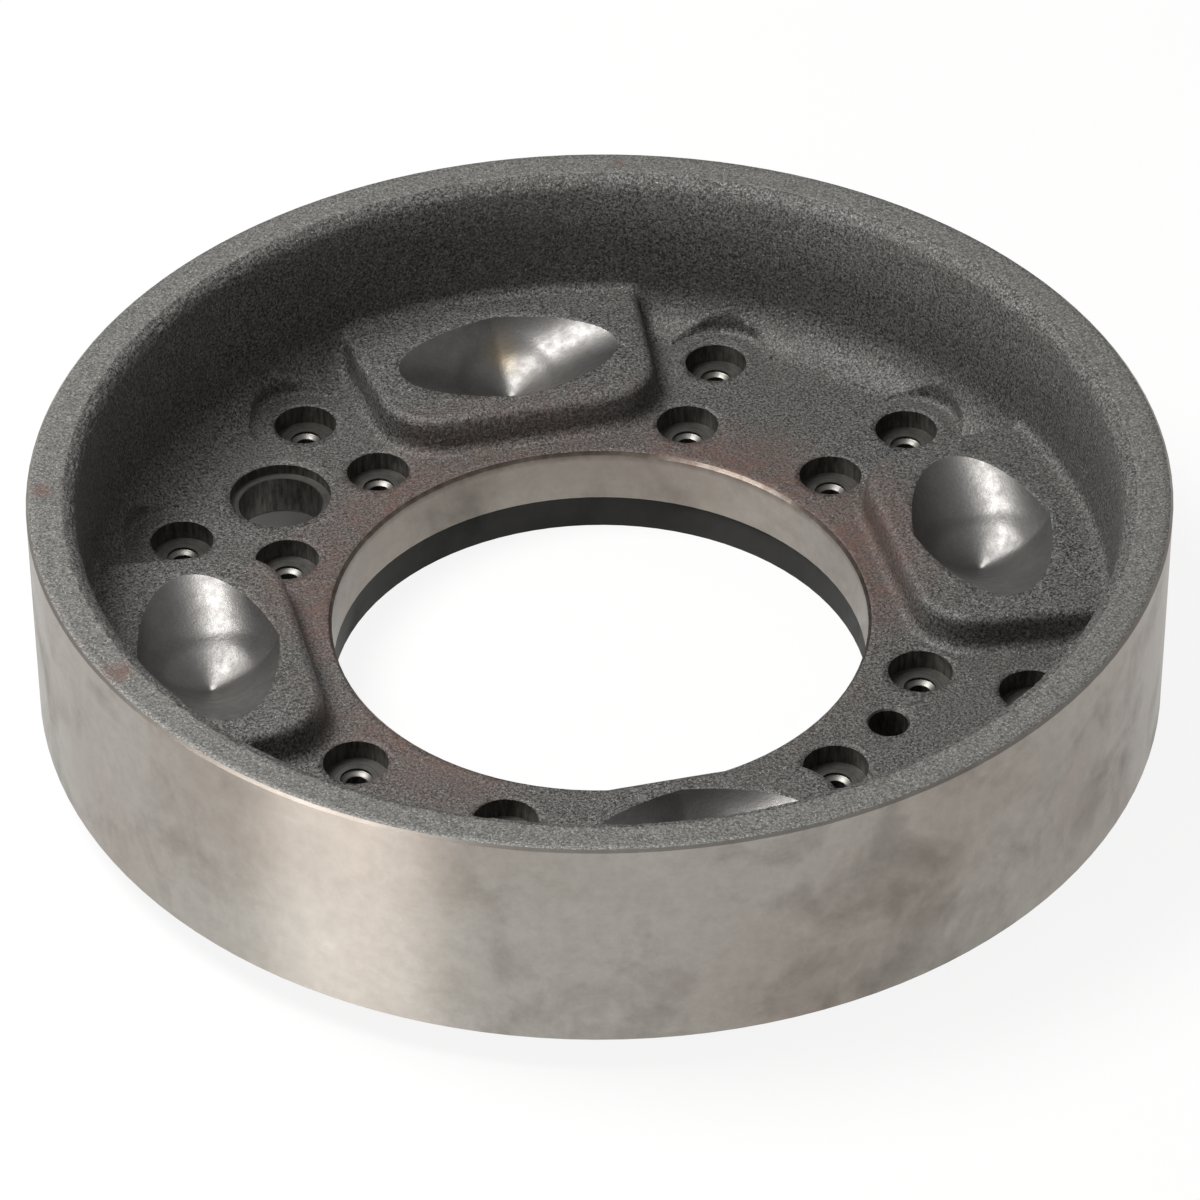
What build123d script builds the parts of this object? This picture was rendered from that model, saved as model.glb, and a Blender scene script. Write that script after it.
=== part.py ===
import os
from math import atan, cos, hypot, radians, sin, tan

from build123d import *

os.makedirs("parts", exist_ok=True)

# Overall casting, in mm. The bore axis is Z, the open rim faces up, and Z = 0 is the
# end face of the spigot, which is the lowest face.
drum_diameter = 350.0
wall_height = 73.0
spigot_height = 11.0
web_thickness = 19.0

# Wall and rim
wall_thickness = 15.0
wall_draft_angle = 3.0
wall_foot_fillet = 15.0
rim_inner_rounding = 5.0
turned_edge_chamfer = 0.8

# Central bore, its relieved lower band and the spigot around it
bore_diameter = 167.0
bore_edge_chamfer = 1.0
relief_step = 0.75
relief_overlap = 1.0
spigot_wall = 8.5
spigot_root_fillet = 1.2

# Four pads, one every quarter turn, standing on the web and running out into the wall
pad_count = 4
pad_height = 12.0
pad_inner_distance = 93.0
pad_inner_half_width = 44.5
pad_flare_angle = 6.3
pad_corner_radius = 20.0
pad_draft_angle = 5.0
pad_edge_rounding = 3.5
pad_foot_fillet = 3.5
pad_wall_embed = 6.0

# Dish in each pad: two mirrored round-bottomed ramps that meet over a drill point
dish_center_distance = 123.5
dish_half_length = 36.2
dish_ramp_depth = 16.4
dish_cutter_radius = 24.0
dish_point_depth = 17.9
dish_point_slope = 30.0
dish_point_radius = 16.0
dish_tip_radius = 0.4
dish_run_out = 12.0

# Bolt holes on two circles, two on each circle between every pair of pads
inner_bolt_circle = 205.0
outer_bolt_circle = 275.0
bolt_half_spread = 15.0
bolt_hole_diameter = 6.8
bolt_hole_chamfer = 0.8
bolt_recess_diameter = 10.0
bolt_recess_depth = 0.9
bolt_countersink_slope = 30.0
counterbore_diameter = 20.0
counterbore_depth = 6.5
scallop_clearance = 7.8

# Stepped bore in one bolt group and the plain hole in the group across from it
pivot_bore_distance = 119.0
pivot_bore_diameter = 27.0
pivot_recess_diameter = 32.4
pivot_recess_depth = 3.5
pivot_exit_chamfer = 3.0
dowel_hole_diameter = 12.3
dowel_hole_chamfer = 0.5

# Levels and radii that follow from the sizes above
mount_face_z = spigot_height
web_top_z = mount_face_z + web_thickness
rim_top_z = mount_face_z + wall_height
pad_top_z = web_top_z + pad_height
drum_radius = drum_diameter / 2.0
bore_radius = bore_diameter / 2.0
relief_radius = bore_radius + relief_step
relief_height = spigot_height + relief_overlap
spigot_radius = relief_radius + spigot_wall
draft_gain = tan(radians(wall_draft_angle))
rim_inner_radius = drum_radius - wall_thickness
wall_foot_radius = rim_inner_radius - (rim_top_z - web_top_z) * draft_gain
pad_reach = wall_foot_radius + pad_wall_embed
pad_flare_gain = tan(radians(pad_flare_angle))
pad_outer_half_width = pad_inner_half_width + (pad_reach - pad_inner_distance) * pad_flare_gain
ramp_angle = atan(dish_ramp_depth / dish_half_length)
ramp_length = (dish_half_length + dish_run_out) / cos(ramp_angle)
ramp_section_height = dish_cutter_radius / cos(ramp_angle)
ramp_axis_z = pad_top_z - dish_ramp_depth + ramp_section_height
point_height = (dish_point_radius - dish_tip_radius) * tan(radians(dish_point_slope))
group_turn = 180.0 / pad_count
hole_turns = (group_turn - bolt_half_spread, group_turn + bolt_half_spread)
pivot_turn = group_turn + 90.0
dowel_turn = pivot_turn + 180.0
bolt_hole_radius = bolt_hole_diameter / 2.0
bolt_recess_radius = bolt_recess_diameter / 2.0
countersink_height = (bolt_recess_radius - bolt_hole_radius) * tan(radians(bolt_countersink_slope))
counterbore_floor_z = web_top_z - counterbore_depth
recess_floor_z = counterbore_floor_z - bolt_recess_depth
scallop_radius = counterbore_diameter / 2.0 + scallop_clearance
scallop_height = wall_foot_fillet + pad_height
pivot_radius = pivot_bore_diameter / 2.0
dowel_radius = dowel_hole_diameter / 2.0
mount_face = Plane.XY.offset(mount_face_z)
web_face = Plane.XY.offset(web_top_z)
dish_section = Plane(
    origin=(dish_center_distance, 0, ramp_axis_z), x_dir=(1, 0, 0), z_dir=(0, 1, 0)
)
upward = (Align.CENTER, Align.CENTER, Align.MIN)
downward = (Align.CENTER, Align.CENTER, Align.MAX)

# The tool that leaves one dish, for the pad at +X: the upright mid section of the ramp
# cutter swept up both ramps, and the drill point under it with its small chisel-edge flat.
with BuildPart() as dish_tool:
    for side in (1, -1):
        with BuildSketch(dish_section):
            Ellipse(dish_cutter_radius, ramp_section_height)
        extrude(amount=ramp_length, dir=(0, side * cos(ramp_angle), sin(ramp_angle)))
    with Locations((dish_center_distance, 0, pad_top_z - dish_point_depth)):
        Cone(dish_tip_radius, dish_point_radius, point_height, align=upward)

with BuildPart() as brake_drum:
    # Spigot, web and wall in one turned profile
    with BuildSketch(Plane.XZ) as profile:
        with BuildLine():
            Polyline(
                (bore_radius, 0),
                (spigot_radius, 0),
                (spigot_radius, mount_face_z),
                (drum_radius, mount_face_z),
                (drum_radius, rim_top_z),
                (rim_inner_radius, rim_top_z),
                (wall_foot_radius, web_top_z),
                (bore_radius, web_top_z),
                close=True,
            )
        make_face()
        for spot, radius in (
            ((wall_foot_radius, web_top_z), wall_foot_fillet),
            ((rim_inner_radius, rim_top_z), rim_inner_rounding),
            ((spigot_radius, mount_face_z), spigot_root_fillet),
        ):
            fillet(profile.vertices().sort_by_distance(spot)[0], radius)
        for spot, size in (
            ((drum_radius, rim_top_z), turned_edge_chamfer),
            ((drum_radius, mount_face_z), turned_edge_chamfer),
            ((spigot_radius, 0), turned_edge_chamfer),
            ((bore_radius, web_top_z), bore_edge_chamfer),
        ):
            chamfer(profile.vertices().sort_by_distance(spot)[0], size)
    revolve(axis=Axis.Z)
    Cylinder(relief_radius, relief_height, align=upward, mode=Mode.SUBTRACT)

    # Pads, drafted off the web and running out into the wall
    with BuildSketch(web_face):
        with PolarLocations(0, pad_count):
            pad_plan = Polygon(
                (pad_inner_distance, -pad_inner_half_width),
                (pad_reach, -pad_outer_half_width),
                (pad_reach, pad_outer_half_width),
                (pad_inner_distance, pad_inner_half_width),
                align=None,
            )
        fillet(
            [v for v in pad_plan.vertices() if hypot(v.X, v.Y) < wall_foot_radius - wall_foot_fillet],
            pad_corner_radius,
        )
    extrude(amount=pad_height, taper=pad_draft_angle)
    pad_rims = [
        edge
        for edge in brake_drum.edges().filter_by_position(Axis.Z, pad_top_z - 0.01, pad_top_z + 0.01)
        if hypot((edge @ 0.5).X, (edge @ 0.5).Y) < wall_foot_radius - 1.0
    ]
    fillet(pad_rims, pad_edge_rounding)
    pad_feet = [
        edge
        for edge in brake_drum.edges().filter_by_position(Axis.Z, web_top_z - 0.01, web_top_z + 0.01)
        if pad_inner_distance - 1.0 < hypot((edge @ 0.5).X, (edge @ 0.5).Y)
        and hypot((edge @ 0.5).X, (edge @ 0.5).Y) < wall_foot_radius - wall_foot_fillet - 1.0
    ]
    fillet(pad_feet, pad_foot_fillet)

    # Dishes
    with PolarLocations(0, pad_count):
        add(dish_tool.part, mode=Mode.SUBTRACT)

    # Clearances cast into the foot of the wall beside the outer bolt holes
    for turn in hole_turns:
        with Locations(web_face):
            with PolarLocations(outer_bolt_circle / 2.0, pad_count, start_angle=turn):
                Cone(
                    scallop_radius,
                    scallop_radius + scallop_height * draft_gain,
                    scallop_height,
                    align=upward,
                    mode=Mode.SUBTRACT,
                )

    # Counterbored bolt holes, eight on each circle, with a shallow recess and a countersink in the floor
    for circle in (inner_bolt_circle, outer_bolt_circle):
        for turn in hole_turns:
            with Locations(web_face):
                with PolarLocations(circle / 2.0, pad_count, start_angle=turn):
                    CounterBoreHole(bolt_hole_radius, counterbore_diameter / 2.0, counterbore_depth)
            with Locations(Plane.XY.offset(counterbore_floor_z)):
                with PolarLocations(circle / 2.0, pad_count, start_angle=turn):
                    Cylinder(bolt_recess_radius, bolt_recess_depth, align=downward, mode=Mode.SUBTRACT)
            with Locations(Plane.XY.offset(recess_floor_z)):
                with PolarLocations(circle / 2.0, pad_count, start_angle=turn):
                    Cone(
                        bolt_hole_radius,
                        bolt_recess_radius,
                        countersink_height,
                        align=downward,
                        mode=Mode.SUBTRACT,
                    )
            with Locations(mount_face):
                with PolarLocations(circle / 2.0, pad_count, start_angle=turn):
                    Cone(
                        bolt_hole_radius + bolt_hole_chamfer,
                        bolt_hole_radius,
                        bolt_hole_chamfer,
                        align=upward,
                        mode=Mode.SUBTRACT,
                    )

    # Stepped bore
    with Locations(web_face):
        with PolarLocations(pivot_bore_distance, 1, start_angle=pivot_turn):
            CounterBoreHole(pivot_radius, pivot_recess_diameter / 2.0, pivot_recess_depth)
    with Locations(mount_face):
        with PolarLocations(pivot_bore_distance, 1, start_angle=pivot_turn):
            Cone(
                pivot_radius + pivot_exit_chamfer,
                pivot_radius,
                pivot_exit_chamfer,
                align=upward,
                mode=Mode.SUBTRACT,
            )

    # Plain hole on the inner bolt circle
    with Locations(web_face):
        with PolarLocations(inner_bolt_circle / 2.0, 1, start_angle=dowel_turn):
            Hole(dowel_radius)
            Cone(
                dowel_radius,
                dowel_radius + dowel_hole_chamfer,
                dowel_hole_chamfer,
                align=downward,
                mode=Mode.SUBTRACT,
            )

brake_drum.part.label = "brake_drum"
export_step(brake_drum.part, "parts/brake_drum.step")
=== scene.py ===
from math import atan2, cos, degrees, hypot, radians, sin, sqrt, tan

import bmesh
import bpy
from mathutils import Matrix, Vector, noise
from mathutils.geometry import delaunay_2d_cdt


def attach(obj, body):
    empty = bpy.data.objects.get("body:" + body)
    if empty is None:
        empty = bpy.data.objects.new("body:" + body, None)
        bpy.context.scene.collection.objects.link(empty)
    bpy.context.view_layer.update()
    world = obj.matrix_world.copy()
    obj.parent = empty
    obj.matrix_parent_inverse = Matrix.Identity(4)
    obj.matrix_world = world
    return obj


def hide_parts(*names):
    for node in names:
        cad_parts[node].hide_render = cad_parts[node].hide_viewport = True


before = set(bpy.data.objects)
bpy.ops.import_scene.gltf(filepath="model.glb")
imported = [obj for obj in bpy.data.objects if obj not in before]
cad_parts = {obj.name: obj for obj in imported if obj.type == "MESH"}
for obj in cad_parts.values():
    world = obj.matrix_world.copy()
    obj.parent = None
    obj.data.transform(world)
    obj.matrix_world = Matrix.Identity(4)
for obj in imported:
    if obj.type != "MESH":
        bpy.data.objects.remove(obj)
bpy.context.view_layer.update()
mm = 0.001

# Sizes of the drum that the finishes follow, in mm
drum = {
    "outerRadius": 175.0,
    "boreRadius": 83.5,
    "rimZ": 84.0,
    "webZ": 30.0,
    "padZ": 42.0,
    "mountZ": 11.0,
    "reliefZ": 12.0,
    "turnedEdge": 0.8,
    "boreEdge": 1.0,
    "dishDistance": 123.5,
    "dishReach": 23.2,
    "dishHalfLength": 37.2,
    "innerCircle": 102.5,
    "outerCircle": 137.5,
    "holeTurn": 30.0,
    "counterboreRadius": 10.0,
    "pivotDistance": 119.0,
    "pivotTurn": 135.0,
    "recessRadius": 16.2,
    "dowelDistance": 102.5,
    "dowelTurn": 315.0,
    "dowelRadius": 6.65,
}

# How rough the sand-cast skin is, in mm
skin = {
    "edgeLength": 3.7,
    "swell": 0.16,
    "swellSize": 17.0,
    "pitting": 0.11,
    "pittingSize": 5.5,
    "rimEdge": 1.1,
    "rimEdgeRadius": 160.0,
    "rimEdgeReach": 5.0,
    "rimEdgeSize": 3.4,
    "rimEdgeLength": 2.1,
    "fadeRings": 2,
    "mergeReach": 0.001,
    "flatHeight": 0.002,
    "dividePasses": 30,
}

# The ground ramps in the pads, in mm, and how far their seams are rounded
dish = {
    "edgeLength": 1.7,
    "rampDepth": 16.4,
    "rampLength": 36.2,
    "cutterRadius": 24.0,
    "pointDepth": 17.9,
    "pointSlope": 30.0,
    "tipRadius": 0.4,
    "pointReach": 13.0,
    "pointBlend": 3.0,
    "valleyRound": 2.2,
    "rowPitch": 0.866,
    "outlineGap": 0.5,
    "rimDrop": 0.05,
    "netReach": 1e-6,
}

# Rust: a ring round the bore, stronger at some turns, and small spots on the rim and web
rust = {
    "ringStart": 83.0,
    "ringEnd": 116.0,
    "turns": [(47.0, 1.0), (8.0, 1.0), (125.0, 0.8), (158.0, 0.9), (215.0, 0.7), (95.0, 0.5)],
    "turnSpread": 30.0,
    "spots": [(170.5, 168.0, 4.5), (170.0, 199.5, 6.0), (169.0, 74.0, 3.0)],
    "stains": [(138.0, 89.6, 7.0)],
}

cameraSet = {
    "lens": 183.65,
    "sensor": 36.0,
    "distance": 1487.7,
    "height": 1219.4,
    "turn": 256.2,
    "pitch": 38.504,
    "roll": 0.264,
}

lightSet = {
    "keyToward": (-0.42, 0.134, 0.90),
    "keyDistance": 1.5,
    "keySize": 0.75,
    "keyPower": 25.0,
    "sideToward": (-0.837, -0.543, 0.068),
    "sideDistance": 1.6,
    "sideWidth": 0.78,
    "sideHeight": 0.20,
    "sidePower": 24.2,
    "worldStrength": 0.36,
    "floorGlow": 0.88,
    "openOutside": 159.0,
}


def linear(hexColour):
    channels = [int(hexColour[i:i + 2], 16) / 255.0 for i in (1, 3, 5)]
    return [c / 12.92 if c <= 0.04045 else ((c + 0.055) / 1.055) ** 2.4 for c in channels] + [1.0]


def addNode(tree, kind, settings=None, inputs=None):
    node = tree.nodes.new(kind)
    for name, value in (settings or {}).items():
        setattr(node, name, value)
    for key, value in (inputs or {}).items():
        if isinstance(value, bpy.types.NodeSocket):
            tree.links.new(value, node.inputs[key])
        else:
            node.inputs[key].default_value = value
    return node


def at(distance, turn):
    return distance * cos(radians(turn)), distance * sin(radians(turn))


# Which tool or mould left a face, from the middle of the face in mm
def finishOf(x, y, z, nz):
    radius = hypot(x, y)
    long, short = max(abs(x), abs(y)), min(abs(x), abs(y))
    if radius < drum["boreRadius"] + drum["boreEdge"] + 0.05 and z > drum["reliefZ"] - 0.01:
        return "bored"
    if radius < drum["boreRadius"] + 1.0 and z < drum["reliefZ"] + 0.01:
        return "relief"
    if radius > drum["outerRadius"] - drum["turnedEdge"] - 0.01 and z < drum["rimZ"] - 0.01:
        return "turned"
    if z < drum["mountZ"] + 0.01:
        return "faced"
    for distance in (drum["innerCircle"], drum["outerCircle"]):
        holeX, holeY = at(distance, drum["holeTurn"])
        if hypot(long - holeX, short - holeY) < drum["counterboreRadius"] + 0.05 and z < drum["webZ"] - 0.01:
            return "spotfaced" if nz > 0.3 else "drilled"
    holeX, holeY = at(drum["pivotDistance"], drum["pivotTurn"])
    if hypot(x - holeX, y - holeY) < drum["recessRadius"] + 0.05 and z < drum["webZ"] - 0.01:
        return "spotfaced" if nz > 0.3 else "drilled"
    holeX, holeY = at(drum["dowelDistance"], drum["dowelTurn"])
    if hypot(x - holeX, y - holeY) < drum["dowelRadius"] + 0.05 and z < drum["webZ"] - 0.01:
        return "drilled"
    across = (long - drum["dishDistance"]) / drum["dishReach"]
    along = short / drum["dishHalfLength"]
    if across * across + along * along < 1.0 and z < drum["padZ"] - 0.02:
        return "dished"
    if z > drum["rimZ"] - 0.05 and nz > 0.9:
        return "rim"
    return "cast"


# Distance from the middle of the nearest hole, in mm, for the rings a cutter leaves
def toolRadius(x, y):
    long, short = max(abs(x), abs(y)), min(abs(x), abs(y))
    spots = [at(drum["innerCircle"], drum["holeTurn"]), at(drum["outerCircle"], drum["holeTurn"])]
    nearest = min(hypot(long - a, short - b) for a, b in spots)
    pivotX, pivotY = at(drum["pivotDistance"], drum["pivotTurn"])
    dowelX, dowelY = at(drum["dowelDistance"], drum["dowelTurn"])
    return min(nearest, hypot(x - pivotX, y - pivotY), hypot(x - dowelX, y - dowelY))


def rampNoise(tree, place, size, detail=6.0, roughness=0.6, low=0.35, high=0.65):
    grain = addNode(tree, "ShaderNodeTexNoise", None,
                    {"Vector": place, "Scale": 1.0 / (size * mm), "Detail": detail, "Roughness": roughness})
    spread = addNode(tree, "ShaderNodeMapRange", None,
                     {"Value": grain.outputs["Fac"], "From Min": low, "From Max": high})
    return spread.outputs["Result"]


def blend(tree, factor, first, second):
    mix = addNode(tree, "ShaderNodeMix", {"data_type": "RGBA"}, {"Factor": factor})
    for socket, colour in ((mix.inputs[6], first), (mix.inputs[7], second)):
        if isinstance(colour, bpy.types.NodeSocket):
            tree.links.new(colour, socket)
        else:
            socket.default_value = linear(colour)
    return mix.outputs[2]


def maths(tree, operation, first, second=0.0):
    return addNode(tree, "ShaderNodeMath", {"operation": operation}, {0: first, 1: second}).outputs[0]


def startMaterial(name, metallic):
    material = bpy.data.materials.new(name)
    material.use_nodes = True
    tree = material.node_tree
    shader = tree.nodes["Principled BSDF"]
    shader.inputs["Metallic"].default_value = metallic
    place = addNode(tree, "ShaderNodeTexCoord").outputs["Object"]
    return material, tree, shader, place


def bump(tree, shader, height, distance, strength=1.0, under=None):
    inputs = {"Height": height, "Distance": distance * mm, "Strength": strength}
    if under is not None:
        inputs["Normal"] = under
    node = addNode(tree, "ShaderNodeBump", None, inputs)
    tree.links.new(node.outputs["Normal"], shader.inputs["Normal"])
    return node.outputs["Normal"]


def attribute(tree, name):
    return addNode(tree, "ShaderNodeAttribute", {"attribute_name": name}).outputs["Fac"]


# Red-brown rust where the mesh is marked, broken up by a fine noise
def rustOver(tree, place, body, colour="#6e5148", share=0.85):
    patches = rampNoise(tree, place, 7.0, 6.0, 0.7, 0.36, 0.60)
    broken = maths(tree, "ADD", maths(tree, "MULTIPLY", patches, 0.7), 0.3)
    grown = maths(tree, "MULTIPLY", attribute(tree, "rust"), broken)
    return blend(tree, maths(tree, "MULTIPLY", grown, share), body, colour)


# Grey cast iron, sand cast and shot blasted: a dark matt skin with bright specks painted on as glints.
# The grit is drawn at 0.8 mm, coarser than the real one, so that it shows.
def sandCastIron(name, dark, pale, glintColour, roughness):
    material, tree, shader, place = startMaterial(name, 0.35)
    grit = rampNoise(tree, place, 0.85, 3.0, 0.75, 0.40, 0.62)
    glintFlecks = rampNoise(tree, place, 0.62, 1.0, 0.5, 0.63, 0.72)
    cloud = rampNoise(tree, place, 38.0, 4.0, 0.55)
    body = blend(tree, grit, dark, pale)
    body = blend(tree, maths(tree, "MULTIPLY", cloud, 0.30), body, "#55534f")
    # Painted glints: sparse bright specks mixed into the colour
    body = blend(tree, maths(tree, "MULTIPLY", glintFlecks, 0.45), body, glintColour)
    tree.links.new(rustOver(tree, place, body), shader.inputs["Base Color"])
    shader.inputs["Roughness"].default_value = roughness
    coarse = rampNoise(tree, place, 2.4, 4.0, 0.65, 0.3, 0.7)
    under = bump(tree, shader, coarse, 0.16)
    bump(tree, shader, grit, 0.07, 1.0, under)
    return material


# The rim top: the cast skin coloured lighter as painted light on its upward face, with bright specks painted
# on as glints, breaking off raggedly into the cast skin inside it
def rimIron(name, cast, upperBand, glintColour, roughness):
    material, tree, shader, place = startMaterial(name, 0.45)
    grit = rampNoise(tree, place, 0.85, 3.0, 0.75, 0.36, 0.66)
    glintFlecks = rampNoise(tree, place, 0.70, 1.0, 0.5, 0.60, 0.70)
    # The two rim tones are a lighter copy of the cast skin: painted light on the upward face
    body = blend(tree, grit, upperBand[0], upperBand[1])
    parts = addNode(tree, "ShaderNodeSeparateXYZ", None, {"Vector": place})
    flat = addNode(tree, "ShaderNodeCombineXYZ", None, {"X": parts.outputs["X"], "Y": parts.outputs["Y"]})
    radius = addNode(tree, "ShaderNodeVectorMath", {"operation": "LENGTH"}, {0: flat.outputs["Vector"]})
    inner = addNode(tree, "ShaderNodeMapRange", None,
                    {"Value": radius.outputs["Value"], "From Min": 0.1585, "From Max": 0.1645,
                     "To Min": 1.0, "To Max": 0.0})
    ragged = rampNoise(tree, place, 4.0, 5.0, 0.7, 0.30, 0.70)
    broken = addNode(tree, "ShaderNodeMapRange", None,
                     {"Value": maths(tree, "MULTIPLY", inner.outputs["Result"], ragged),
                      "From Min": 0.30, "From Max": 0.42})
    body = blend(tree, broken.outputs["Result"], body, cast)
    # Painted glints: sparse bright specks mixed into the colour
    body = blend(tree, maths(tree, "MULTIPLY", glintFlecks, 0.40), body, glintColour)
    tree.links.new(rustOver(tree, place, body), shader.inputs["Base Color"])
    shader.inputs["Roughness"].default_value = roughness
    coarse = rampNoise(tree, place, 2.4, 4.0, 0.65, 0.3, 0.7)
    under = bump(tree, shader, coarse, 0.12)
    bump(tree, shader, grit, 0.06, 1.0, under)
    return material


# Turned grey iron: satin. The rings that the tool leaves stretch a highlight across them,
# and handling leaves brown smears and paler wiped patches.
def turnedIron(name, pale, dark, warm, roughness, ringPitch, stain, wiping, edgeZ=0.0):
    material, tree, shader, place = startMaterial(name, 0.92)
    parts = addNode(tree, "ShaderNodeSeparateXYZ", None, {"Vector": place})
    rings = addNode(tree, "ShaderNodeTexNoise", {"noise_dimensions": "1D"},
                    {"W": maths(tree, "MULTIPLY", parts.outputs["Z"], 1.0 / (ringPitch * mm)),
                     "Scale": 1.0, "Detail": 3.0})
    tone = rampNoise(tree, place, 90.0, 3.0, 0.5, 0.38, 0.64)
    body = blend(tree, maths(tree, "MULTIPLY", tone, 0.55), pale, warm)
    cloud = addNode(tree, "ShaderNodeTexNoise", None,
                    {"Vector": place, "Scale": 1.0 / (30.0 * mm), "Detail": 6.0, "Roughness": 0.62,
                     "Distortion": 0.4})
    smear = addNode(tree, "ShaderNodeMapRange", None,
                    {"Value": cloud.outputs["Fac"], "From Min": 0.48, "From Max": 0.72})
    body = blend(tree, maths(tree, "MULTIPLY", smear.outputs["Result"], stain), body, dark)
    wiped = addNode(tree, "ShaderNodeTexNoise", None,
                    {"Vector": place, "Scale": 1.0 / (24.0 * mm), "Detail": 5.0, "Roughness": 0.65,
                     "Distortion": 0.8})
    wisps = addNode(tree, "ShaderNodeMapRange", None,
                    {"Value": wiped.outputs["Fac"], "From Min": 0.54, "From Max": 0.70})
    body = blend(tree, maths(tree, "MULTIPLY", wisps.outputs["Result"], wiping), body, pale)
    mottle = rampNoise(tree, place, 5.0, 7.0, 0.75, 0.38, 0.66)
    body = blend(tree, maths(tree, "MULTIPLY", mottle, 0.22), body, dark)
    body = blend(tree, maths(tree, "MULTIPLY", rings.outputs["Fac"], 0.10), body, dark)
    if edgeZ:
        upperBand = addNode(tree, "ShaderNodeMapRange", None,
                       {"Value": parts.outputs["Z"], "From Min": (edgeZ - 3.5) * mm, "From Max": edgeZ * mm})
        broken = rampNoise(tree, place, 5.0, 5.0, 0.65, 0.30, 0.62)
        patchy = maths(tree, "ADD", maths(tree, "MULTIPLY", broken, 0.5), 0.5)
        body = blend(tree, maths(tree, "MULTIPLY", upperBand.outputs["Result"], patchy), body, "#5c4f46")
    tree.links.new(body, shader.inputs["Base Color"])
    rough = addNode(tree, "ShaderNodeMapRange", None,
                    {"Value": smear.outputs["Result"], "To Min": roughness, "To Max": roughness + 0.10})
    tree.links.new(rough.outputs["Result"], shader.inputs["Roughness"])
    shader.inputs["Anisotropic"].default_value = 0.88
    shader.inputs["Anisotropic Rotation"].default_value = 0.25
    tangent = addNode(tree, "ShaderNodeTangent", {"direction_type": "RADIAL", "axis": "Z"})
    tree.links.new(tangent.outputs["Tangent"], shader.inputs["Tangent"])
    bump(tree, shader, rings.outputs["Fac"], 0.008)
    return material


# Iron cut by a spot-facing tool: bright, with rings round each hole
def spotfacedIron(name):
    material, tree, shader, place = startMaterial(name, 0.9)
    radius = attribute(tree, "toolRadius")
    rings = addNode(tree, "ShaderNodeTexNoise", {"noise_dimensions": "1D"},
                    {"W": maths(tree, "MULTIPLY", radius, 1.2), "Scale": 1.0, "Detail": 2.0})
    grime = rampNoise(tree, place, 4.0, 5.0, 0.65, 0.42, 0.70)
    body = blend(tree, rings.outputs["Fac"], "#4c4a47", "#8f8c87")
    body = blend(tree, maths(tree, "MULTIPLY", grime, 0.5), body, "#4a4744")
    tree.links.new(body, shader.inputs["Base Color"])
    shader.inputs["Roughness"].default_value = 0.42
    bump(tree, shader, rings.outputs["Fac"], 0.10)
    return material


# Bored walls of the holes: dull, and coloured dark as painted shade inside the holes, with the drill's marks
# down them
def drilledIronPaintedShade(name):
    material, tree, shader, place = startMaterial(name, 0.8)
    along = addNode(tree, "ShaderNodeMapping", None, {"Vector": place, "Scale": (1.0, 1.0, 0.18)})
    streaks = rampNoise(tree, along.outputs["Vector"], 1.4, 4.0, 0.65, 0.35, 0.68)
    grime = rampNoise(tree, place, 5.0, 4.0, 0.6, 0.40, 0.68)
    body = blend(tree, streaks, "#3d3b39", "#74716c")
    body = blend(tree, maths(tree, "MULTIPLY", grime, 0.45), body, "#35322f")
    tree.links.new(body, shader.inputs["Base Color"])
    shader.inputs["Roughness"].default_value = 0.46
    bump(tree, shader, streaks, 0.03)
    return material


# The ramps are ground and left satin, with short marks across them and a rub of old oil
def dishedIron(name):
    material, tree, shader, place = startMaterial(name, 0.95)
    fine = rampNoise(tree, place, 0.9, 3.0, 0.7, 0.3, 0.7)
    blotch = rampNoise(tree, place, 4.5, 5.0, 0.65, 0.38, 0.66)
    stain = rampNoise(tree, place, 14.0, 5.0, 0.6, 0.46, 0.72)
    body = blend(tree, maths(tree, "MULTIPLY", stain, 0.35), "#807e7c", "#625d56")
    body = blend(tree, maths(tree, "MULTIPLY", blotch, 0.30), body, "#5c5a58")
    body = blend(tree, maths(tree, "MULTIPLY", fine, 0.25), body, "#4f4d4b")
    body = blend(tree, maths(tree, "MULTIPLY", attribute(tree, "stain"), 0.5), body, "#8d7b52")
    tree.links.new(body, shader.inputs["Base Color"])
    rough = addNode(tree, "ShaderNodeMapRange", None, {"Value": blotch, "To Min": 0.42, "To Max": 0.52})
    tree.links.new(rough.outputs["Result"], shader.inputs["Roughness"])
    under = bump(tree, shader, blotch, 0.015)
    bump(tree, shader, fine, 0.025, 1.0, under)
    return material


def makeMaterials():
    return {
        "cast": sandCastIron("sandCastIron", "#1d1d1c", "#787774", "#bdbbb6", 0.56),
        # The rim is a lighter copy of the cast iron, painted light on its top face, with painted glints
        "rim": rimIron("rimIronPaintedLight", "#323130", ("#4a4946", "#878682"), "#c6c4be", 0.55),
        "turned": turnedIron("turnedWallIron", "#a8a49d", "#675f57", "#91847a", 0.32, 0.35, 0.45, 0.35),
        "faced": turnedIron("facedIron", "#8e8b87", "#5f5b56", "#857d76", 0.42, 0.5, 0.4, 0.2),
        "bored": turnedIron("boredIron", "#a5a099", "#6a6158", "#92867b", 0.36, 0.30, 0.40, 0.2,
                            drum["webZ"]),
        # The relief under the bore is turned iron coloured near black: painted shade, where little light
        # reaches under the bore
        "relief": turnedIron("reliefIronPaintedShade", "#3b3b39", "#282726", "#343230", 0.46, 0.6, 0.3, 0.0),
        "spotfaced": spotfacedIron("spotfacedIron"),
        # The walls of the holes are coloured darker than their spot faces: painted shade
        "drilled": drilledIronPaintedShade("drilledIronPaintedShade"),
        "dished": dishedIron("groundDishIron"),
    }


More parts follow.
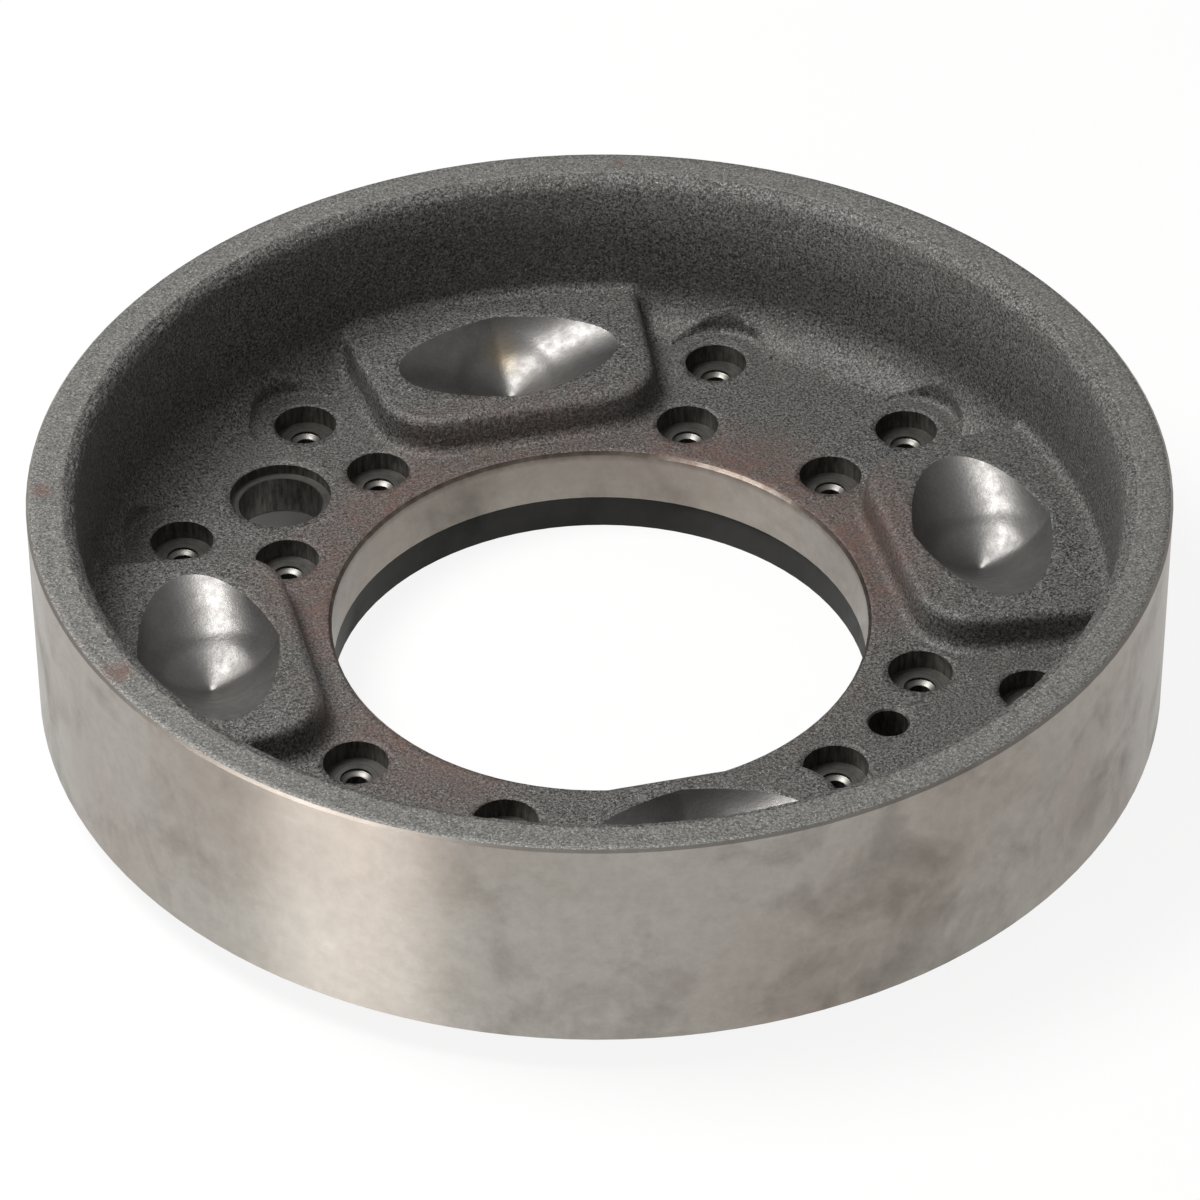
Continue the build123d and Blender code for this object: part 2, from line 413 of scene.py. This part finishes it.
# How far the mould left the skin from its true surface, in mm, never outwards past it
def skinDepth(point):
    swell = noise.fractal(point / (skin["swellSize"] * mm), 0.6, 2.0, 3)
    pits = noise.fractal(point / (skin["pittingSize"] * mm) + Vector((7.3, 1.9, 4.1)), 0.7, 2.0, 3)
    depth = abs(skin["swell"] * (1.0 + swell)) + skin["pitting"] * max(0.0, pits)
    radius = hypot(point.x, point.y) / mm
    away = hypot(radius - skin["rimEdgeRadius"], point.z / mm - drum["rimZ"]) / skin["rimEdgeReach"]
    if away < 1.0:
        ragged = noise.fractal(point / (skin["rimEdgeSize"] * mm) + Vector((3.1, 8.2, 0.7)), 0.6, 2.0, 3)
        depth += skin["rimEdge"] * (1.0 - away) * abs(ragged)
    return -depth


# Height of the ground surface in mm, from the distances across and along its pad: two
# round-bottomed ramps and the drill point between them, run together softly
def dishHeight(across, along):
    slope = dish["rampDepth"] / dish["rampLength"]
    rise = dish["cutterRadius"] * sqrt(1.0 + slope * slope)
    inside = max(0.0, 1.0 - (across / dish["cutterRadius"]) ** 2)
    trough = drum["padZ"] - dish["rampDepth"] + rise * (1.0 - sqrt(inside))
    deep = min(1.0, max(0.0, (drum["padZ"] - trough) / dish["rampDepth"]))
    ramp = trough + slope * hypot(along, dish["valleyRound"] * deep)
    reach = hypot(across, along)
    gain = tan(radians(dish["pointSlope"]))
    point = drum["padZ"] - dish["pointDepth"] + gain * max(0.0, reach - dish["tipRadius"])
    point += 0.15 * max(0.0, reach - dish["pointReach"]) ** 2
    share = max(0.0, 1.0 - abs(ramp - point) / dish["pointBlend"])
    return min(ramp, point) - share * share * dish["pointBlend"] / 4.0


# The same surface at a place in the drum, with its normal
def dishAt(x, y):
    onX = abs(x) > abs(y)
    side = 1.0 if (x if onX else y) > 0.0 else -1.0
    across, along = (abs(x) if onX else abs(y)) - drum["dishDistance"], y if onX else x
    step = 0.25
    leanAcross = (dishHeight(across + step, along) - dishHeight(across - step, along)) / (2.0 * step)
    leanAlong = (dishHeight(across, along + step) - dishHeight(across, along - step)) / (2.0 * step)
    normal = Vector((-leanAcross * side, -leanAlong, 1.0) if onX else (-leanAlong, -leanAcross * side, 1.0))
    return dishHeight(across, along), normal.normalized()


# Rust on the skin at a point, from 0 to 1
def rustAt(x, y, z):
    radius, turn = hypot(x, y), degrees(atan2(y, x))
    level = 0.0
    if z < drum["padZ"] + 1.0:
        near = 1.0 - min(1.0, max(0.0, (radius - rust["ringStart"]) / (rust["ringEnd"] - rust["ringStart"])))
        strength = 0.12
        for middle, share in rust["turns"]:
            away = abs((turn - middle + 180.0) % 360.0 - 180.0) / rust["turnSpread"]
            strength = max(strength, share * max(0.0, 1.0 - away * away))
        level = near * strength
    for distance, spotTurn, reach in rust["spots"]:
        spotX, spotY = at(distance, spotTurn)
        away = hypot(x - spotX, y - spotY) / reach
        if away < 1.0 and abs(z - (drum["rimZ"] if distance > 160.0 else drum["webZ"])) < 3.0:
            level = max(level, (1.0 - away * away) * 0.95)
    return level


def stainAt(x, y):
    level = 0.0
    for distance, turn, reach in rust["stains"]:
        spotX, spotY = at(distance, turn)
        level = max(level, 1.0 - hypot(x - spotX, y - spotY) / reach)
    return level


# Halve the long edges of the faces of some finishes until none is longer than its limit
# Flat triangles with no area, which would tear when their long side is halved, are dissolved
def dissolveFlat(work):
    bmesh.ops.dissolve_degenerate(work, dist=skin["flatHeight"] * mm, edges=work.edges[:])
    bmesh.ops.triangulate(work, faces=[f for f in work.faces if len(f.verts) > 3])


# The longest sides are halved first, never two in one triangle, so each pass leaves triangles
def divide(work, indices, limitOf, passes):
    for _ in range(passes):
        ratio = {e: e.calc_length() / limitOf(e) for e in work.edges
                 if any(f.material_index in indices for f in e.link_faces)}
        tooLong = sorted((e for e in ratio if ratio[e] > 1.0), key=lambda e: -ratio[e])
        if not tooLong:
            break
        used, chosen = set(), []
        for e in tooLong:
            if not any(f in used for f in e.link_faces):
                chosen.append(e)
                used.update(e.link_faces)
        bmesh.ops.subdivide_edges(work, edges=chosen, cuts=1, use_single_edge=True)
        bmesh.ops.triangulate(work, faces=[f for f in work.faces if len(f.verts) > 3])


# How long a side may be on the skin: shorter along the inner edge of the rim
def skinLimit(edge):
    middle = (edge.verts[0].co + edge.verts[1].co) / 2.0 / mm
    away = hypot(hypot(middle.x, middle.y) - skin["rimEdgeRadius"], middle.z - drum["rimZ"])
    return (skin["rimEdgeLength"] if away < skin["rimEdgeReach"] + 1.0 else skin["edgeLength"]) * mm


# Which quarter turn a face lies on, counted from +X
def quarterOf(face):
    middle = face.calc_center_median()
    return round(degrees(atan2(middle.y, middle.x)) / 90.0) % 4


# One dish laid anew inside its own outline: an even net of points set to the height of
# the ground form, whose ramps run into each other softly with no edge between them
def layDish(work, faces):
    slot = next(iter(faces)).material_index
    rim = [e for e in {e for f in faces for e in f.edges} if sum(f in faces for f in e.link_faces) == 1]
    corners = list({v for e in rim for v in e.verts})
    number = {v: i for i, v in enumerate(corners)}
    sides = [tuple(number[v] for v in e.verts) for e in rim]
    flat = [Vector((v.co.x, v.co.y)) / mm for v in corners]
    low = [min(p[k] for p in flat) for k in (0, 1)]
    high = [max(p[k] for p in flat) for k in (0, 1)]
    step = dish["edgeLength"]
    pitch = step * dish["rowPitch"]
    inner = []
    for row in range(int((high[1] - low[1]) / pitch) + 2):
        for column in range(int((high[0] - low[0]) / step) + 2):
            p = Vector((low[0] + (column + 0.5 * (row % 2)) * step, low[1] + row * pitch))
            inside, near = False, step
            for i, j in sides:
                a, b = flat[i], flat[j]
                if (a.y > p.y) != (b.y > p.y) and p.x < a.x + (b.x - a.x) * (p.y - a.y) / (b.y - a.y):
                    inside = not inside
                run = max(0.0, min(1.0, (p - a).dot(b - a) / max((b - a).length_squared, 1e-9)))
                near = min(near, (a + (b - a) * run - p).length)
            if inside and near > dish["outlineGap"] * step:
                inner.append(p)
    places, _, triangles, origins, _, _ = delaunay_2d_cdt(flat + inner, sides, [], 1, dish["netReach"])
    bmesh.ops.delete(work, geom=list(faces), context="FACES")
    points = []
    for place, origin in zip(places, origins):
        known = [i for i in origin if i < len(corners)]
        if known:
            points.append(corners[known[0]])
        else:
            height = min(dishAt(place.x, place.y)[0], drum["padZ"] - dish["rimDrop"])
            points.append(work.verts.new(Vector((place.x, place.y, height)) * mm))
    for triangle in triangles:
        face = work.faces.new([points[i] for i in triangle])
        face.material_index = slot
        face.smooth = True
    print("dish laid:", len(triangles), "faces,", len(corners), "outline points,", len(inner), "inside")


# The casting, with its as-cast faces divided finely enough to carry a real skin
def buildCasting(materials):
    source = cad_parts["brake_drum"].data
    mesh = source.copy()
    mesh.name = "castDrum"
    trueNormal = mesh.attributes.new("trueNormal", "FLOAT_VECTOR", "CORNER")
    for corner, data in zip(mesh.corner_normals, trueNormal.data):
        data.vector = corner.vector
    mesh.materials.clear()
    order = list(materials)
    for name in order:
        mesh.materials.append(materials[name])

    work = bmesh.new()
    work.from_mesh(mesh)
    bmesh.ops.remove_doubles(work, verts=work.verts, dist=skin["mergeReach"] * mm)
    dissolveFlat(work)
    for face in work.faces:
        middle = face.calc_center_median() / mm
        face.material_index = order.index(finishOf(middle.x, middle.y, middle.z, face.normal.z))
        face.smooth = True
    rough = {order.index("cast"), order.index("rim")}
    ground = {order.index("dished")}
    divide(work, rough, skinLimit, skin["dividePasses"])
    for turn in range(4):
        layDish(work, {f for f in work.faces if f.material_index in ground and quarterOf(f) == turn})
    print("casting divided:", len(work.faces), "faces")

    held = {v for v in work.verts if any(f.material_index not in rough for f in v.link_faces)}
    weight = {v: 0.0 for v in held}
    edge = held
    for ring in range(skin["fadeRings"]):
        nextEdge = set()
        for v in edge:
            nextEdge |= {e.other_vert(v) for e in v.link_edges} - set(weight)
        for v in nextEdge:
            weight[v] = (ring + 1) / (skin["fadeRings"] + 1)
        edge = nextEdge
    work.normal_update()
    moves = [(v, v.normal * skinDepth(v.co) * weight.get(v, 1.0) * mm) for v in work.verts if v not in held]
    for v, move in moves:
        v.co += move

    for e in work.edges:
        if len({f.material_index in rough for f in e.link_faces}) > 1:
            e.smooth = False
    work.normal_update()
    work.to_mesh(mesh)
    work.free()

    marks = {"toolRadius": lambda p: toolRadius(p.x, p.y), "rust": lambda p: rustAt(p.x, p.y, p.z),
             "stain": lambda p: stainAt(p.x, p.y)}
    for name, level in marks.items():
        values = mesh.attributes.new(name, "FLOAT", "POINT")
        for v, data in zip(mesh.vertices, values.data):
            data.value = level(v.co / mm)
    mesh.set_sharp_from_angle(angle=radians(32.0))
    kept = [Vector((0, 0, 0))] * len(mesh.loops)
    stored = mesh.attributes["trueNormal"].data
    for polygon in mesh.polygons:
        if polygon.material_index in ground:
            for index in polygon.loop_indices:
                place = mesh.vertices[mesh.loops[index].vertex_index].co / mm
                kept[index] = dishAt(place.x, place.y)[1]
        elif polygon.material_index not in rough:
            for index in polygon.loop_indices:
                kept[index] = stored[index].vector.normalized()
    mesh.normals_split_custom_set(kept)
    mesh.attributes.remove(mesh.attributes["trueNormal"])

    casting = bpy.data.objects.new("castDrum", mesh)
    bpy.context.scene.collection.objects.link(casting)
    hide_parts("brake_drum")
    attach(casting, "root")
    return casting


def placeCamera():
    heading = radians(cameraSet["turn"] + 180.0)
    pitch, roll = radians(cameraSet["pitch"]), radians(cameraSet["roll"])
    forward = Vector((cos(heading) * cos(pitch), sin(heading) * cos(pitch), -sin(pitch)))
    right = forward.cross(Vector((0, 0, 1))).normalized()
    up = right.cross(forward)
    right = (right - up * sin(roll)).normalized()
    up = right.cross(forward)
    data = bpy.data.cameras.new("camera")
    data.lens = cameraSet["lens"]
    data.sensor_width = cameraSet["sensor"]
    data.clip_start, data.clip_end = 0.05, 50.0
    camera = bpy.data.objects.new("camera", data)
    bpy.context.scene.collection.objects.link(camera)
    turned = Matrix((right, up, -forward)).transposed().to_4x4()
    x, y = at(cameraSet["distance"], cameraSet["turn"])
    camera.matrix_world = Matrix.Translation(Vector((x, y, cameraSet["height"])) * mm) @ turned
    bpy.context.scene.camera = camera


def addSoftbox(name, toward, distance, width, height, power):
    data = bpy.data.lights.new(name, "AREA")
    data.shape = "ELLIPSE" if width == height else "RECTANGLE"
    data.size, data.size_y = width, height
    data.energy = power
    lamp = bpy.data.objects.new(name, data)
    bpy.context.scene.collection.objects.link(lamp)
    direction = Vector(toward).normalized()
    lamp.location = direction * distance
    lamp.rotation_mode = "QUATERNION"
    lamp.rotation_quaternion = direction.to_track_quat("Z", "Y")


def buildStudio():
    addSoftbox("keyLamp", lightSet["keyToward"], lightSet["keyDistance"],
               lightSet["keySize"], lightSet["keySize"],
               lightSet["keyPower"])
    addSoftbox("sideCard", lightSet["sideToward"], lightSet["sideDistance"], lightSet["sideWidth"],
               lightSet["sideHeight"], lightSet["sidePower"])
    world = bpy.data.worlds.new("studio")
    bpy.context.scene.world = world
    world.use_nodes = True
    tree = world.node_tree
    path = addNode(tree, "ShaderNodeLightPath")
    strength = addNode(tree, "ShaderNodeMapRange", None,
                       {"Value": path.outputs["Is Camera Ray"],
                        "To Min": lightSet["worldStrength"], "To Max": 1.0})
    tree.links.new(strength.outputs["Result"], tree.nodes["Background"].inputs["Strength"])
    tree.nodes["Background"].inputs["Color"].default_value = (1, 1, 1, 1)

    mesh = bpy.data.meshes.new("floor")
    mesh.from_pydata([(-6, -6, 0), (6, -6, 0), (6, 6, 0), (-6, 6, 0)], [], [(0, 1, 2, 3)])
    floor = bpy.data.objects.new("floor", mesh)
    bpy.context.scene.collection.objects.link(floor)
    material = bpy.data.materials.new("paleFloor")
    material.use_nodes = True
    tree = material.node_tree
    shader = tree.nodes["Principled BSDF"]
    shader.inputs["Base Color"].default_value = linear("#e9e8e6")
    shader.inputs["Roughness"].default_value = 0.9
    path = addNode(tree, "ShaderNodeLightPath")
    place = addNode(tree, "ShaderNodeTexCoord").outputs["Object"]
    radius = addNode(tree, "ShaderNodeVectorMath", {"operation": "LENGTH"}, {0: place}).outputs["Value"]
    outside = maths(tree, "GREATER_THAN", radius, lightSet["openOutside"] * mm)
    inside = maths(tree, "LESS_THAN", radius, (drum["boreRadius"] + 6.0) * mm)
    openFloor = maths(tree, "MAXIMUM", outside, inside)
    seen = maths(tree, "MAXIMUM", path.outputs["Is Camera Ray"], path.outputs["Is Glossy Ray"])
    glow = addNode(tree, "ShaderNodeEmission", None, {"Color": (1, 1, 1, 1), "Strength": 1.0})
    share = maths(tree, "MULTIPLY", maths(tree, "MULTIPLY", seen, openFloor), lightSet["floorGlow"])
    mix = addNode(tree, "ShaderNodeMixShader", None, {0: share, 1: shader.outputs[0], 2: glow.outputs[0]})
    tree.links.new(mix.outputs[0], tree.nodes["Material Output"].inputs["Surface"])
    mesh.materials.append(material)


bpy.context.scene.view_settings.view_transform = "Standard"
casting = buildCasting(makeMaterials())
print("casting built")
buildStudio()
placeCamera()
print("studio and camera set")
